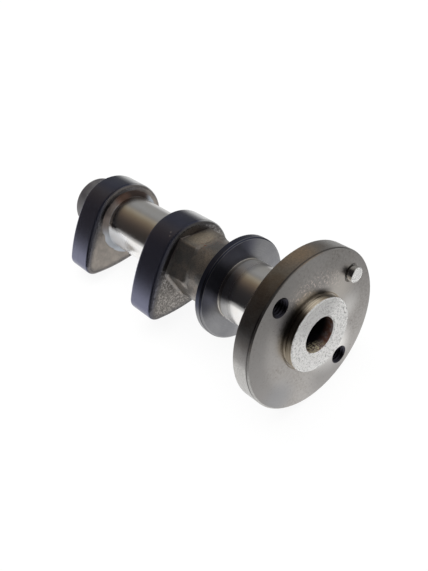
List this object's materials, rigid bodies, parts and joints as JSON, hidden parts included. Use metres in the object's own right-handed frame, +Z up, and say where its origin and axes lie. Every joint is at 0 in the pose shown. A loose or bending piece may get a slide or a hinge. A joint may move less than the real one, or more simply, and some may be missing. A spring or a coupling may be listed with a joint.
{
  "type": "camshaft",
  "caption": "Short overhead camshaft with a sprocket flange and dowel, a thrust collar, a spanner hexagon and a pair of equal cam lobes, lying as it rests.",
  "frame": {"origin": "middle of the bottom of the part's box, on the surface it lies on", "axes": "+Z up; +X along the shaft towards the hub, with the shaft's own axis rising towards the hub by about 6.6 degrees as it lies; +Y across, away from the noses of the cam lobes"},
  "size_m": [0.1224, 0.053, 0.0533],
  "materials": {
    "cam_iron": "cast skin with turned, ground and blackened running surfaces",
    "dowel_steel": "bright ground steel"
  },
  "bodies": {
    "root": {"camshaft": "cam_iron", "dowel_pin": "dowel_steel"}
  },
  "joints": []
}
